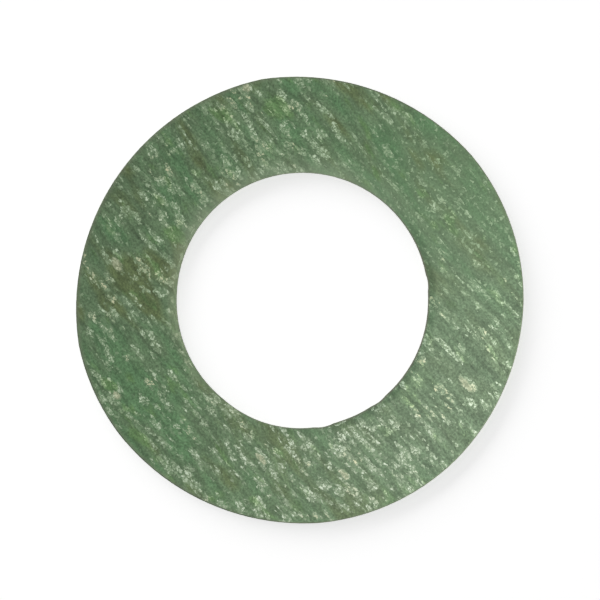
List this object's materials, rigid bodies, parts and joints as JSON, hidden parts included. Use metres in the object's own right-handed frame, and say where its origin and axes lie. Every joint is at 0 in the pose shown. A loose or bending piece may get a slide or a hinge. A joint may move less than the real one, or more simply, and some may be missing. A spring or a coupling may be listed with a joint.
{
  "type": "fibre ring gasket",
  "caption": "Flat ring gasket cut by hand from green compressed fibre sheet, with a wide bore and plain faces, which seals a pipe flange inside its bolt circle.",
  "frame": {"origin": "on the bore's axis, at the lower face on which the gasket lies", "axes": "+Z along the bore's axis, out of the upper face; seen from above, +X is right in the picture and +Y is up in it"},
  "size_m": [0.1072, 0.1071, 0.002],
  "materials": {
    "fibre_sheet": "matte"
  },
  "bodies": {
    "root": {"gasket": "fibre_sheet"}
  },
  "joints": []
}
